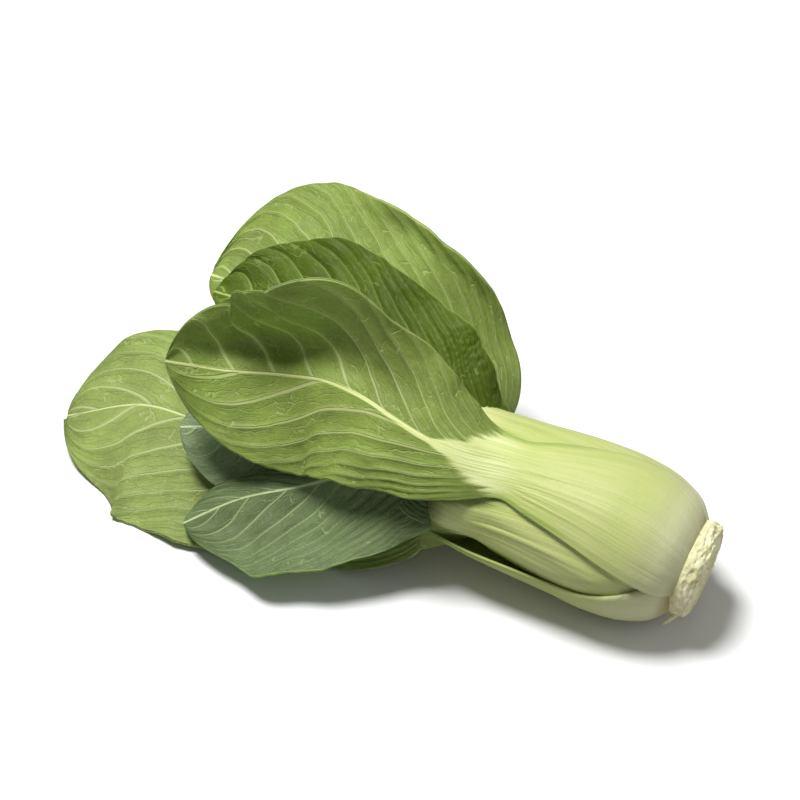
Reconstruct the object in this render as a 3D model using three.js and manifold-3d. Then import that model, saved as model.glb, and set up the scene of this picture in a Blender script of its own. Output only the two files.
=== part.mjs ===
// Bok choy lying on its side: a cut stub, nine grown leaves and one heart leaf.
// Millimetres, +Z up. The bunch lies along X with its cut butt at +X, and its front faces -Y.
// Every leaf is one closed solid: a petiole wrapped round the head, then a waved blade.
import * as THREE from "three";
import Module from "manifold-3d";

const wasm = await Module();
wasm.setup();

// Head: an axis that starts at the butt and climbs a little towards the leaves
const BUTT = [106, -20, 22.4];        // centre of the leaf bases
const HEAD_TILT = 8;                  // degrees up towards the leaf end
const TO_ORIGIN = [5.3, 12.1, 0];      // puts the origin under the middle of the whole bunch
// Radius of the bulb at distances from the butt along the axis
const BULB_AT = [0, 4, 12, 26, 41, 66, 91, 121];
const BULB_RADIUS = [15.5, 20.5, 25, 27.5, 27, 23.8, 21.5, 21];

// Petioles
const LAYER_GAP = 0.6;                // clearance between neighbouring petioles
const MARGIN = 0.9;                   // petiole thickness at its thin margins
const TUCK = 18;                      // degrees past a margin where the next petiole rises again
const WRAP_AT = [0, 8, 26, 56, 96];   // distances from the butt where the margins are given
const NECK_THIN = 0.72;               // thickness at the neck, as a part of the full one
const THINNING = [10, 60];            // distances from the butt between which it thins
const FLARE = [35, 75];               // distances between which a flared petiole stands out
const PAST_NECK = 30;                 // how far the petiole's own form is followed past the neck
const BLEND = 14;                     // length over which a petiole turns into a blade

// Blades
const BLADE = 0.75;                   // blade thickness away from the midrib
const RIB_AT_NECK = 11;               // half width of the midrib bulge where the blade starts
const RIB_AT_TIP = 2.5;
const RIB_MIDDLE = 2.2;               // extra thickness of the midrib a third of the way out
const RIB_END = 0.2;
const RIB_FALL = 0.35;                // part of the blade over which the midrib flattens most
const TIP_POWER = 2.6;                // how square the rounded tip is
const TIP_LEFT = 0.004;               // part of the squared width that is left at the very tip
const FOLD_WIDTH = 4;                 // distance from the midrib over which a fold turns
const RIM = [0.8, 0.9];               // parts of the half width between which a rim turns back
const RIM_NECK = [8, 38];             // distances past the neck where a rim starts and is full
const RIM_TIP = [25, 55];             // and before the tip
const WAVE_NECK = [10, 35];           // distances past the neck where the waves start and are full
const WAVE_LAG = 1.7;                 // by how much the high side's waves run ahead, in radians
const SECTION_STEPS = 24;             // steps in which a section's bend is added up

// Mesh rows, alike on both faces: every petiole has its rows at the same distances
const PETIOLE_ROWS = [2, 5, 9, 14, 20, 28, 38, 50, 62, 74, 83];
const BLADE_ROWS = 14;
const CLOSER_AT_TIP = 1.25;
const COLS = 12;

// Cut stub that holds the petioles
const STUB_FACE = -5.5;               // cut plane, measured like the petiole rows
const STUB_END = 1.5;
const STUB_PROFILE = [[STUB_FACE, 14.6], [-3.6, 15.8], [-1.4, 16.6], [STUB_END, 16.2]];
const STUB_SIDES = 40;
const STUB_ROUGH = 0.5;               // ripple of the torn rim

const COLOURS = { stub: 0xd3cfa2, pale: 0xa5b96e, dark: 0x4d6b2f, heart: 0xc5d084 };

// Leaves from the outermost layer inwards. neck: where the petiole turns into the blade; thick:
// petiole thickness; wrap: where the petiole's low and high margins lie, in degrees round the axis
// from the top towards the front, at each of WRAP_AT; flare: how far it stands out near the neck;
// tip: the rounded part of the blade; wave: height, count and start of the margin's waves; rim:
// degrees that the low margin turns back; valley: the parts of the low half width between which
// its curl is made, and the part of the curl that is undone towards the margin. Blade stations:
// point on the outer side of the midrib, outward normal, then half widths, curls towards the inner
// side and folds beside the midrib, each for the low and the high side.
const LEAVES = [
  { name: "leaf_front", colour: "pale", neck: 66, thick: 6.5,
    wrap: [[-30, -34, -29, -9, 12], [84, 77, 66, 55, 52]],
    tip: 0.35, wave: [1, 5, 0], valley: [0.08, 0.42, 0.12], blade: [
      [[28.5, -33.5, 55], [2, -5.4, 7], [19, 16.5], [25, 20]],
      [[17, -34, 56.5], [1.6, -5.6, 7], [22.5, 21], [15, 20]],
      [[4.5, -32, 58.5], [1.6, -5.6, 7], [25.5, 26], [0, 15]],
      [[-9.5, -28.5, 60], [1.8, -6.1, 7], [29.5, 31], [-42, 15], [12, 0]],
      [[-23, -27, 60.5], [2.5, -6.6, 7], [42, 33], [-80, 15], [25, 0]],
      [[-39, -27, 57], [3, -6.3, 7], [43.5, 33], [-100, 10], [30, 0]],
      [[-60, -31.5, 54.5], [3.9, -5.9, 7], [37.5, 26], [-82, -10], [22, 0]],
      [[-75.5, -42, 61.5], [6.5, -4.7, 7], [33, 17], [-40, -20], [8, 0]]] },
  { name: "leaf_bottom", colour: "pale", neck: 88, thick: 6,
    wrap: [[66, 75, 97, 108, 118], [246, 244, 240, 232, 228]],
    tip: 0.4, wave: [0.6, 5, 0], flare: 4, blade: [
      [[0, -24, 9], [1, 0, -7], [14, 18], [20, 20]],
      [[-30, -25, 5], [0, 0, -1], [22, 22], [5, 5]],
      [[-66, -24, 3], [0, 0, -1], [26, 24], [5, 5]],
      [[-100, -20, 4], [0, 0, -1], [20, 20], [5, 5]]] },
  { name: "leaf_top", colour: "pale", neck: 80, thick: 6,
    wrap: [[-122, -122, -115, -101, -80], [26, 22, 12, 3, -8]],
    tip: 0.33, wave: [0.7, 5, 1], rim: -45, blade: [
      [[10, 1.5, 46.5], [0, 0, 7], [34, 10], [20, 15]],
      [[-13, 6, 52], [0, -4, 7], [39.5, 15], [5, 10]],
      [[-46, 9.5, 53.5], [0, -4, 7], [45, 16], [10, 10]],
      [[-87, 12, 51], [-1, -4, 7], [48, 16], [5, 10]]] },
  { name: "leaf_back", colour: "pale", neck: 88, thick: 5,
    wrap: [[212, 212, 214, 220, 227], [332, 332, 330, 325, 317]],
    tip: 0.4, wave: [1.5, 5, 2], blade: [
      [[2, 11, 29], [0, 1, 0], [7, 11], [10, 10]],
      [[-30, 26, 30], [0, 1, 0.2], [12, 18], [0, 10]],
      [[-60, 38, 29], [0, 1, 0.3], [18, 20], [0, 5]],
      [[-88, 42, 27], [0, 1, 0.3], [16, 14], [0, 0]]] },
  { name: "leaf_left", colour: "pale", neck: 74, thick: 5.5,
    wrap: [[52, 48, 44, 50, 72], [140, 132, 122, 117, 145]],
    tip: 0.3, wave: [2, 5, 0], blade: [
      [[18.5, -39, 30], [1, -6, 5], [10, 15], [10, 10]],
      [[0, -38, 22], [0, -6, 4], [12, 22.5], [10, -10]],
      [[-28, -33, 22], [0, -4, 5], [26, 34.5], [5, -18]],
      [[-62, -29, 21], [0, -3.5, 6], [35, 42], [0, -5]],
      [[-95, -26, 18], [-1, -3, 7], [30.5, 43], [0, 5]],
      [[-123.5, -32, 6], [-2, -2.5, 6], [30, 37], [0, 5]]] },
  { name: "leaf_back_low", colour: "pale", neck: 88, thick: 5,
    wrap: [[173, 174, 178, 180, 186], [283, 282, 280, 277, 270]],
    tip: 0.4, wave: [1, 5, 3], blade: [
      [[0, -3, 19], [0, 4, -6], [12, 11], [15, 15]],
      [[-30, 12, 14], [0, 1, -7], [22, 22], [0, 0]],
      [[-60, 22, 10], [0, -1.5, -7], [26, 28], [0, -10]],
      [[-88, 26, 8], [0, -1, -7], [18, 18], [0, 0]]] },
  { name: "leaf_inner", colour: "dark", neck: 68, thick: 3.2,
    wrap: [[155, 155, 157, 160, 163], [235, 235, 233, 230, 227]],
    tip: 0.4, wave: [0.8, 5, 0], blade: [
      [[20, -19, 26], [0, 1, -4], [6, 7], [25, 25]],
      [[8, -24, 35], [0, 4, -6], [6, 8], [0, 0]],
      [[-8, -26, 35], [0, 5, -6], [9, 11], [0, 0]],
      [[-30, -26, 31], [0, 5, -6], [14, 16], [0, 0]],
      [[-60, -33, 28], [0, 5, -6], [26, 18], [0, 0]],
      [[-74, -38, 27], [0, 4, -6], [26, 14], [0, 0]]] },
  { name: "leaf_lower_dark", colour: "dark", neck: 68, thick: 3.4,
    wrap: [[112, 112, 115, 119, 126], [204, 204, 201, 197, 190]],
    tip: 0.4, wave: [0.8, 5, 0], blade: [
      [[24.5, -29, 37], [-2, 6.5, -6], [12, 5], [0, 20]],
      [[16.5, -30, 45.5], [-2, 6.5, -6.5], [22, 5], [0, 0]],
      [[3, -36, 41], [-2, 6.5, -6.5], [26.5, 6], [0, 0]],
      [[-22.5, -43.5, 26], [-1, 5, -6], [31.5, 8], [40, -30]],
      [[-45, -52, 17], [-1, 5, -6], [34, 9], [48, -30]],
      [[-61, -62, 8], [0, 5, -6], [25, 8], [40, -20]]] },
  { name: "leaf_upper_dark", colour: "dark", neck: 66, thick: 3.4,
    wrap: [[179, 179, 182, 186, 193], [271, 271, 268, 264, 257]],
    tip: 0.4, wave: [1.5, 6, 0], blade: [
      [[26, -17, 37], [0, 6, -2], [3, 21], [0, -70]],
      [[6, -17, 47], [-1, 6, -4], [5, 33], [0, -30]],
      [[-18, -10, 57], [-1, 5, -7], [12, 32], [0, -5]],
      [[-46, -3, 59], [-1, 5, -7], [12, 32], [0, -5]],
      [[-80, 2, 54], [-1, 5, -7], [12, 22], [0, 0]]] },
  { name: "heart_leaf", colour: "heart", neck: 46, thick: 3,
    wrap: [[-10, -10, -3, 5, 10], [90, 90, 83, 75, 70]],
    tip: 0.4, wave: [0, 1, 0], blade: [
      [[44, -22, 40], [0, -3, 5], [6, 6], [20, 20]],
      [[30, -25, 43], [0, -3, 5], [6, 6], [10, 10]]] },
];

// Who keeps its shape where two blades would touch, and the clearance left between them
const RIGHT_OF_WAY = ["leaf_front", "leaf_bottom", "leaf_top", "leaf_lower_dark", "leaf_left",
  "leaf_back", "leaf_back_low", "leaf_inner", "leaf_upper_dark", "heart_leaf"];
const CLEARANCE = 0.3;

const RAD = Math.PI / 180;
const tilt = HEAD_TILT * RAD;
const ALONG = [-Math.cos(tilt), 0, Math.sin(tilt)];
const TOP = [Math.sin(tilt), 0, Math.cos(tilt)];
const FRONT = [0, -1, 0];

const add = (a, b, k = 1) => a.map((x, i) => x + k * b[i]);
const dot = (a, b) => a.reduce((s, x, i) => s + x * b[i], 0);
const unit = (a) => a.map((x) => x / Math.hypot(...a));
const cross = (a, b) => [a[1] * b[2] - a[2] * b[1], a[2] * b[0] - a[0] * b[2],
  a[0] * b[1] - a[1] * b[0]];
const clamp = (x) => Math.min(1, Math.max(0, x));
const smooth = (x) => clamp(x) ** 2 * (3 - 2 * clamp(x));
const mix = (a, b, k) => a.map((x, i) => x + (b[i] - x) * k);

// Smooth curve through stations of vectors, at parameter x
function curve(xs, ys, x) {
  const slope = (i) => ys[i].map((y, k) => (ys[i + 1][k] - y) / (xs[i + 1] - xs[i]));
  const tangent = (i) => {
    if (i === 0) return slope(0);
    if (i === xs.length - 1) return slope(i - 1);
    const before = xs[i] - xs[i - 1], after = xs[i + 1] - xs[i];
    const a = slope(i - 1), b = slope(i);
    return a.map((y, k) => (y * after + b[k] * before) / (before + after));
  };
  let i = 0;
  while (i < xs.length - 2 && x >= xs[i + 1]) i++;
  const h = xs[i + 1] - xs[i], t = (x - xs[i]) / h, m0 = tangent(i), m1 = tangent(i + 1);
  return ys[i].map((y, k) => (2 * t ** 3 - 3 * t ** 2 + 1) * y + (t ** 3 - 2 * t ** 2 + t) * h * m0[k]
    + (3 * t ** 2 - 2 * t ** 3) * ys[i + 1][k] + (t ** 3 - t ** 2) * h * m1[k]);
}
const scalar = (xs, ys, x) => curve(xs, ys.map((y) => [y]), x)[0];
const lerpAt = (x0, y0, x1, y1, x) => y0 + (y1 - y0) * clamp((x - x0) / (x1 - x0));

const ramp = ([start, done], x) => smooth((x - start) / (done - start));

// Middle and half width of a petiole at distance u, in degrees round the head
function wrapped(leaf, u) {
  const [low, high] = leaf.wrap.map((margin) =>
    scalar(WRAP_AT, margin, Math.min(u, WRAP_AT[WRAP_AT.length - 1])));
  return [(low + high) / 2, (high - low) / 2];
}

function petioleThickness(leaf, u, a) {
  const full = leaf.thick * (1 - (1 - NECK_THIN) * ramp(THINNING, u));
  return MARGIN + (full - MARGIN) * clamp(1 - a * a) ** 2;
}

// Room that an outer petiole takes from the ones under it
function roomTaken(leaf, u, phi) {
  const [middle, half] = wrapped(leaf, u);
  const off = Math.abs((((phi - middle + 180) % 360) + 360) % 360 - 180);
  if (off <= half) return petioleThickness(leaf, u, off / half) + LAYER_GAP;
  return (MARGIN + LAYER_GAP) * (1 - smooth((off - half) / TUCK));
}

function outerRadius(index, u, phi) {
  let r = scalar(BULB_AT, BULB_RADIUS, u) + (LEAVES[index].flare ?? 0) * ramp(FLARE, u);
  for (let k = 0; k < index; k++) r -= roomTaken(LEAVES[k], u, phi);
  return r;
}

function headPoint(u, r, phi) {
  const c = Math.cos(phi * RAD), s = Math.sin(phi * RAD);
  return add(add(add(BUTT, ALONG, u), TOP, r * c), FRONT, r * s);
}

// Station of a blade that matches the petiole: an arc from its middle to each of its margins
function neckStation(index, u) {
  const [phi, half] = wrapped(LEAVES[index], u);
  const middle = headPoint(u, outerRadius(index, u, phi), phi);
  const normal = add(headPoint(0, 1, phi), BUTT, -1), side = cross(normal, ALONG);
  const arcs = [-1, 1].map((sign) => {
    const at = phi + sign * half;
    const chord = add(headPoint(u, outerRadius(index, u, at), at), middle, -1);
    const turn = Math.atan2(-dot(chord, normal), sign * dot(chord, side));
    return [Math.hypot(...chord) * turn / Math.sin(turn), 2 * turn / RAD];
  });
  return [...middle, ...normal, arcs[0][0], arcs[1][0], arcs[0][1], arcs[1][1], 0, 0];
}

// Share of a half width's curl at the part a of it: even, or made in a valley near the midrib
function curled(valley, a) {
  if (!valley) return a;
  const [start, done, undone] = valley;
  return ramp([start, done], a) * (1 - undone * ramp([done, 1], a));
}

// How far a blade's section has come across and down at the part a of its half width, and how far
// it has turned there: by its fold beside the midrib, its curl on the way and its rim
function section(width, curl, valley, fold, rim, a) {
  const turnAt = (t) => fold * smooth(t * width / FOLD_WIDTH) + curl * curled(valley, t)
    + rim * ramp(RIM, t);
  const stride = a * width / SECTION_STEPS;
  let across = 0, drop = 0;
  for (let k = 0; k < SECTION_STEPS; k++) {
    const turn = turnAt(a * (k + 0.5) / SECTION_STEPS);
    across += stride * Math.cos(turn);
    drop -= stride * Math.sin(turn);
  }
  return [across, drop, turnAt(a)];
}

// Outer and inner face of a leaf as grids of points, both moved out by grow
function leafFaces(index, grow) {
  const leaf = LEAVES[index];
  const rows = [neckStation(index, leaf.neck - BLEND), neckStation(index, leaf.neck)];
  for (const [point, normal, widths, curls, folds = [0, 0]] of leaf.blade) {
    rows.push([...point, ...unit(normal), ...widths, ...curls, ...folds]);
  }
  const at = [leaf.neck - BLEND];
  for (let i = 1; i < rows.length; i++) {
    at.push(at[i - 1] + Math.hypot(...add(rows[i].slice(0, 3), rows[i - 1].slice(0, 3), -1)));
  }
  const end = at[at.length - 1], bladeLength = end - leaf.neck;
  const [waveHeight, waves, wavePhase] = leaf.wave;
  const lengths = PETIOLE_ROWS.filter((u) => u < leaf.neck);
  for (let i = 0; i <= BLADE_ROWS; i++) {
    lengths.push(end - bladeLength * (1 - i / BLADE_ROWS) ** CLOSER_AT_TIP);
  }
  const outer = [], inner = [];
  for (const l of lengths) {
    const s = Math.max(l, at[0]);
    const here = curve(at, rows, s);
    const along = unit(add(curve(at, rows, s + 0.5).slice(0, 3),
      curve(at, rows, s - 0.5).slice(0, 3), -1));
    const side = unit(cross(unit(here.slice(3, 6)), along));
    const normal = cross(along, side);
    const nearTip = clamp((l - (end - leaf.tip * bladeLength)) / (leaf.tip * bladeLength));
    const round = Math.sqrt(Math.max(1 - nearTip ** TIP_POWER, TIP_LEFT));
    const asBlade = smooth((l - leaf.neck + BLEND) / BLEND);
    const rib = lerpAt(leaf.neck, RIB_AT_NECK, end, RIB_AT_TIP, l);
    const fallen = leaf.neck + RIB_FALL * bladeLength;
    const ribHigh = l < fallen
      ? lerpAt(leaf.neck, petioleThickness(leaf, leaf.neck, 0) - BLADE, fallen, RIB_MIDDLE, l)
      : lerpAt(fallen, RIB_MIDDLE, end, RIB_END, l);
    const rimHere = (leaf.rim ?? 0) * RAD * ramp(RIM_NECK, l - leaf.neck) * ramp(RIM_TIP, end - l);
    const outRow = [], inRow = [];
    for (let j = 0; j <= COLS; j++) {
      const v = 2 * j / COLS - 1, a = Math.abs(v), which = v < 0 ? 0 : 1, sign = v < 0 ? -1 : 1;
      const width = here[6 + which] * round + grow;
      const [across, drop, turn] = section(width, here[8 + which] * RAD,
        v < 0 ? leaf.valley : null, here[10 + which] * RAD, v < 0 ? rimHere : 0, a);
      const local = add(side.map((x) => x * Math.sin(turn) * sign), normal, Math.cos(turn));
      const wave = waveHeight * ramp(WAVE_NECK, l - leaf.neck) * a ** 3
        * Math.sin(waves * 2 * Math.PI * (l - leaf.neck) / bladeLength + wavePhase
          + (v < 0 ? 0 : WAVE_LAG));
      let p = add(add(add(here.slice(0, 3), side, across * sign), normal, drop), local, wave);
      let q = add(p, local, -(BLADE + ribHigh * Math.exp(-((a * width / rib) ** 2))) - grow);
      p = add(p, local, grow);
      if (asBlade < 1) {
        const u = Math.min(l, leaf.neck + PAST_NECK), [middle, half] = wrapped(leaf, u);
        const phi = middle + v * half, r = outerRadius(index, u, phi);
        p = mix(headPoint(u, r + grow, phi), p, asBlade);
        q = mix(headPoint(u, r - petioleThickness(leaf, u, a) - grow, phi), q, asBlade);
      }
      outRow.push(p);
      inRow.push(q);
    }
    outer.push(outRow);
    inner.push(inRow);
  }
  return { outer, inner };
}

// Two alike grids joined by a rim, as a solid
function sheetSolid({ outer, inner }) {
  const last = outer.length - 1, n = (last + 1) * (COLS + 1), points = [], tri = [];
  for (const grid of [outer, inner]) for (const row of grid) for (const p of row) points.push(...p);
  const at = (i, j) => i * (COLS + 1) + j;
  const wall = (a, b) => tri.push(a, b + n, a + n, a, b, b + n);
  for (let i = 0; i < last; i++) {
    for (let j = 0; j < COLS; j++) {
      const a = at(i, j), b = at(i, j + 1), c = at(i + 1, j + 1), d = at(i + 1, j);
      tri.push(a, b, c, a, c, d, n + a, n + c, n + b, n + a, n + d, n + c);
    }
    wall(at(i, 0), at(i + 1, 0));
    wall(at(i + 1, COLS), at(i, COLS));
  }
  for (let j = 0; j < COLS; j++) {
    wall(at(0, j + 1), at(0, j));
    wall(at(last, j), at(last, j + 1));
  }
  return makeSolid(points, tri);
}

function makeSolid(points, tri) {
  const solid = (t) => new wasm.Manifold(new wasm.Mesh({
    numProp: 3, vertProperties: new Float32Array(points), triVerts: new Uint32Array(t) }));
  const made = solid(tri);
  if (made.volume() > 0) return made;
  const turned = [];
  for (let i = 0; i < tri.length; i += 3) turned.push(tri[i], tri[i + 2], tri[i + 1]);
  return solid(turned);
}

// Stub: a short turned piece with a rippled rim
function stubSolid() {
  const points = [...headPoint(STUB_FACE, 0, 0)], tri = [], last = STUB_PROFILE.length;
  for (const [u, r] of STUB_PROFILE) {
    for (let k = 0; k < STUB_SIDES; k++) {
      const ripple = STUB_ROUGH * Math.sin(7 * k) * Math.cos(3 * u + k);
      points.push(...headPoint(u, r + ripple, 360 * k / STUB_SIDES));
    }
  }
  points.push(...headPoint(STUB_END, 0, 0));
  const at = (i, k) => 1 + i * STUB_SIDES + (k % STUB_SIDES);
  for (let k = 0; k < STUB_SIDES; k++) {
    tri.push(0, at(0, k), at(0, k + 1));
    tri.push(1 + last * STUB_SIDES, at(last - 1, k + 1), at(last - 1, k));
    for (let i = 0; i < last - 1; i++) {
      tri.push(at(i, k), at(i + 1, k), at(i + 1, k + 1), at(i, k), at(i + 1, k + 1), at(i, k + 1));
    }
  }
  return makeSolid(points, tri);
}

// Leaves in order of right of way, each cut clear of the ones before it and of the ground
function clearedLeaves() {
  const done = {}, grown = [];
  for (const name of RIGHT_OF_WAY) {
    const index = LEAVES.findIndex((leaf) => leaf.name === name);
    let solid = sheetSolid(leafFaces(index, 0)).trimByPlane([0, 0, 1], 0);
    for (const other of grown) solid = solid.subtract(other);
    done[name] = solid.decompose().sort((a, b) => b.volume() - a.volume())[0];
    grown.push(sheetSolid(leafFaces(index, CLEARANCE)));
  }
  return done;
}

function addNode(name, solid, colour) {
  const mesh = solid.getMesh(), geometry = new THREE.BufferGeometry();
  geometry.setAttribute("position", new THREE.BufferAttribute(
    new Float32Array(mesh.vertProperties), 3));
  geometry.setIndex(Array.from(mesh.triVerts));
  geometry.translate(...TO_ORIGIN);
  geometry.computeVertexNormals();
  const node = new THREE.Mesh(geometry, new THREE.MeshStandardMaterial({ color: colour }));
  node.name = name;
  group.add(node);
}

const group = new THREE.Group();
group.name = "bok_choy";
addNode("stem_base", stubSolid(), COLOURS.stub);
const cleared = clearedLeaves();
for (const leaf of LEAVES) addNode(leaf.name, cleared[leaf.name], COLOURS[leaf.colour]);

export default group;
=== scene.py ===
import math

import bmesh
import bpy
import numpy as np
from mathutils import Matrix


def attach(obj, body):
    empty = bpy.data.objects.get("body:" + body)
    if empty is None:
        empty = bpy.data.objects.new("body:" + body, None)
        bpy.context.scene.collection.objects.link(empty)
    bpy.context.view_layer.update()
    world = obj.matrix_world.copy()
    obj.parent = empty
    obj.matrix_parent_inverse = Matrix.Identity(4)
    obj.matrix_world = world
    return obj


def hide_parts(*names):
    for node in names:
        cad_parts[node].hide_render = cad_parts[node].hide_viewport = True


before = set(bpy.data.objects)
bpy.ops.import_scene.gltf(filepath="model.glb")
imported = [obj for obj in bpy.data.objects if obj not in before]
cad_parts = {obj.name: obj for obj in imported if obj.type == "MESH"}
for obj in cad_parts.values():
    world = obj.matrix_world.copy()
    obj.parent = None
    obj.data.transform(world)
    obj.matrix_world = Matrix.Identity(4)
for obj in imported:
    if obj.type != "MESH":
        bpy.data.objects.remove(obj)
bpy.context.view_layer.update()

# Shapes are worked out in millimetres, and MM turns them into the scene's metres
MM = 0.001

# Head: the axis that the petioles wrap, from the butt towards the leaves
BUTT = np.array([106.0, -20.0, 22.4])
HEAD_TILT = math.radians(8)
TO_ORIGIN = np.array([5.3, 12.1, 0.0])  # puts the origin under the middle of the whole bunch
ALONG = np.array([-math.cos(HEAD_TILT), 0, math.sin(HEAD_TILT)])
TOP = np.array([math.sin(HEAD_TILT), 0, math.cos(HEAD_TILT)])
FRONT = np.array([0.0, -1.0, 0.0])
# Radius of the bulb at distances from the butt along the axis
BULB_AT = [0, 4, 12, 26, 41, 66, 91, 121]
BULB_RADIUS = [15.5, 20.5, 25, 27.5, 27, 23.8, 21.5, 21]

# Petioles. A pair of distances is where a change starts and where it is full.
LAYER_GAP = 0.6  # clearance between neighbouring petioles
MARGIN = 0.9  # petiole thickness at its thin margins
TUCK = 18  # degrees past a margin where the next petiole rises again
WRAP_AT = [0, 8, 26, 56, 96]  # distances from the butt where the margins are given
NECK_THIN = 0.72  # thickness at the neck, as a part of the full one
THINNING = (10, 60)
FLARE = (35, 75)
PAST_NECK = 30  # how far the petiole's own form is followed past the neck
BLEND = 14  # length over which a petiole turns into a blade
LEAF_START = 0.4
GROOVE_DEPTH = 0.10  # grooves along the petiole, at the butt
GROOVE_DEEPER = 0.32  # by how much they are deeper at the neck
GROOVE_GROWTH = (18, 63)
# Size against the depth, grooves over the half width and length of the wide and the fine ones
GROOVES = (1, 7, 90), (0.5, 17, 60)

# Blades
BLADE = 0.75  # blade thickness away from the midrib
RIB_AT_NECK = 11  # half width of the midrib bulge where the blade starts
RIB_AT_TIP = 2.5
RIB_MIDDLE = 2.2  # extra thickness of the midrib a third of the way out
RIB_END = 0.2
RIB_FALL = 0.35  # part of the blade over which the midrib flattens most
TIP_POWER = 2.6  # how square the rounded tip is
TIP_LEFT = 0.004  # part of the squared width that is left at the very tip
FOLD_WIDTH = 4  # distance from the midrib over which a fold turns
RIM = (0.8, 0.9)  # parts of the half width between which a rim turns back
RIM_NECK = (8, 38)  # distances past the neck where a rim starts and is full
RIM_TIP = (25, 55)  # and before the tip
WAVE_NECK = (10, 35)  # distances past the neck where the waves start and are full
WAVE_LAG = 1.7  # by how much the high side's waves run ahead, in radians
ABOVE_FLOOR = 0.05  # height of a blade's lowest points
NEARBY = 0.5  # distance to both sides over which the midrib's direction is taken
WIDTHS, CURLS, FOLDS = 6, 8, 10  # first columns of a station's values for its two sides

# Ragged margin past the neck, coarse and fine: depth as a part of the half width, length of the
# notches, and how far apart in the noise the two margins are
RAGGED_NECK = (6, 30)
RAGGED = (0.018, 9, 3.0), (0.008, 3.1, 7.0)

# Laterals, as a leaf has them that gives no others, each for its low and its high side
REACH = ((0.5, 8), (0.5, 8))
ARCH = (0.8, 0.8)
SPACING = (13, 13)
LATERAL_SHIFT = 0.35  # puts the two sides' laterals out of step, in parts of the spacing
# How far their start wanders, and over which distances across and along
WANDER = (1.8, 14, 17), (0.5, 5, 6)

# Pale band on the midrib: half widths at distances past the neck, the last one at the tip
PALE_AT = [-14, -6, 0, 8, 16, 27, 50]
PALE_BAND = [40, 24, 17, 9.5, 5, 0.9, 0.6, 0.3]
PALE_FRAY = 0.3  # by which part of its width fingers reach out of it and in
FINGERS = (14, 60)  # fingers over the half width, and their length
PALE_SOLID = 0.7  # part of the band that is pale all through
PALE_FADE = (0.5, 0.15)  # width of its soft edge: a part of the band, and millimetres more
GREENING = (-14, -6)  # distances past the neck between which the leaf turns green

# Relief: veins stand out on the outer side, the panels between bulge to the inner side. Its
# sizes are parts of the leaf's relief, places between two laterals run from 0 to 1 half way.
VEIN_HIGH = 0.8
VEIN_EDGE = 0.28
PANEL_DEEP = 0.7
PANEL_EDGE = 0.8
PUCKER = 0.8
PUCKER_ON_VEIN = 0.3
PUCKERS = (0.7, 5.5, 6), (0.3, 2.6, 2.8)  # size, then distances across and along
RELIEF_FROM_RIB = 3.5  # distance from the midrib over which the relief grows
RELIEF_AT_MARGIN = (0.9, 1)  # parts of the half width between which it dies down
RELIEF_LOST = 0.6  # by this part

# Mesh: the rows are closer at the tip and the columns at the midrib
PETIOLE_STEP = 1.7  # spacing of the petiole's rows, in mesh steps of the blade
CLOSER_AT_TIP = 1.15
CLOSER_AT_RIB = 0.2
SEED_STEP = 3.1  # shifts the noise from leaf to leaf
UV_SPAN = 100  # millimetres of a leaf that its UV map puts on one unit

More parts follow.
